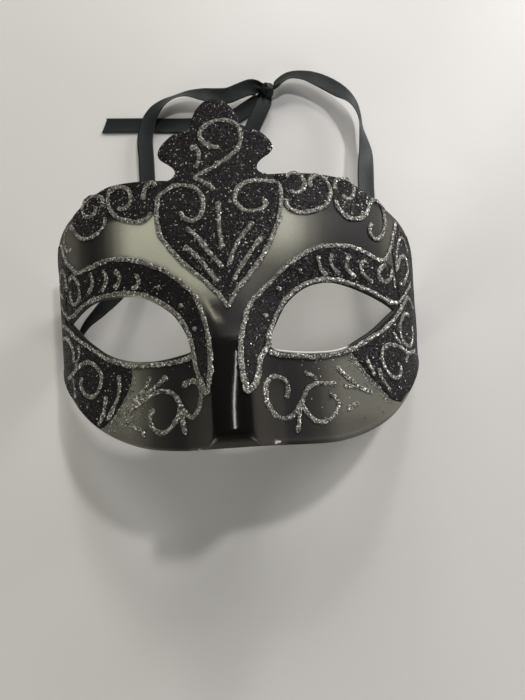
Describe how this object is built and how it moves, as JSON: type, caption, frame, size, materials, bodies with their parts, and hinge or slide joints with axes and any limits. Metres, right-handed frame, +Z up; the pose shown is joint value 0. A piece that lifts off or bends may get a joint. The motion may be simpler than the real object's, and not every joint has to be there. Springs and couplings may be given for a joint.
{
  "type": "venetian masquerade mask",
  "caption": "Half-face carnival mask in painted plastic with a raised crest, glitter panels, piped glitter scrolls and satin tie ribbons, lying face up.",
  "frame": {"origin": "on the table under the middle of the mask, measured without the ribbons", "axes": "+X to the right as the face is seen from the front, +Y up the face toward the crest, +Z up from the table, the way the nose points"},
  "size_m": [0.1702, 0.1898, 0.0798],
  "materials": {
    "painted_plastic": "airbrushed pewter and black over pale plastic, satin",
    "black_glitter": "black glitter coat with silver flakes",
    "silver_glitter": "silver glitter glue",
    "satin_ribbon": "black satin",
    "hot_glue": "set hot-melt glue"
  },
  "bodies": {
    "root": {"band_tick_left_1": "silver_glitter", "band_tick_left_2": "silver_glitter", "band_tick_left_3": "silver_glitter", "band_tick_left_4": "silver_glitter", "band_tick_right_1": "silver_glitter", "band_tick_right_2": "silver_glitter", "band_tick_right_3": "silver_glitter", "band_tick_right_4": "silver_glitter", "brow_glitter_left": "black_glitter", "brow_glitter_right": "black_glitter", "brow_scallop_inner_left": "silver_glitter", "brow_scallop_inner_right": "silver_glitter", "brow_scallop_outer_left": "silver_glitter", "brow_scallop_outer_right": "silver_glitter", "brow_spiral_heart_left": "silver_glitter", "brow_spiral_inner_right": "silver_glitter", "brow_spiral_outer_left": "silver_glitter", "brow_spiral_outer_right": "silver_glitter", "cheek_fan_left": "silver_glitter", "cheek_fan_right": "silver_glitter", "cheek_scroll_left": "silver_glitter", "cheek_scroll_right": "silver_glitter", "crest_heart_glitter": "black_glitter", "crest_hook": "silver_glitter", "crest_swirl": "silver_glitter", "eye_band_glitter_left": "black_glitter", "eye_band_glitter_right": "black_glitter", "eye_band_piping_left": "silver_glitter", "eye_band_piping_right": "silver_glitter", "eye_rim_piping_left": "silver_glitter", "eye_rim_piping_right": "silver_glitter", "heart_piping": "silver_glitter", "heart_ray_centre": "silver_glitter", "heart_ray_lower_left": "silver_glitter", "heart_ray_lower_right": "silver_glitter", "heart_ray_upper_left": "silver_glitter", "heart_ray_upper_right": "silver_glitter", "mask_shell": "painted_plastic", "ribbon_glue_left": "hot_glue", "ribbon_glue_right": "hot_glue", "ribbon_knot": "satin_ribbon", "ribbon_left": "satin_ribbon", "ribbon_right": "satin_ribbon", "ribbon_tail_left": "satin_ribbon", "ribbon_tail_under": "satin_ribbon", "temple_glitter_left": "black_glitter", "temple_glitter_right": "black_glitter", "temple_loop_left": "silver_glitter", "temple_loop_right": "silver_glitter", "temple_lower_ring_left": "silver_glitter", "temple_lower_ring_right": "silver_glitter", "temple_ring_left": "silver_glitter", "temple_ring_right": "silver_glitter", "temple_scroll_left": "silver_glitter", "temple_scroll_right": "silver_glitter", "temple_stroke_left_1": "silver_glitter", "temple_stroke_left_2": "silver_glitter", "temple_stroke_right_1": "silver_glitter", "temple_stroke_right_2": "silver_glitter"}
  },
  "joints": []
}
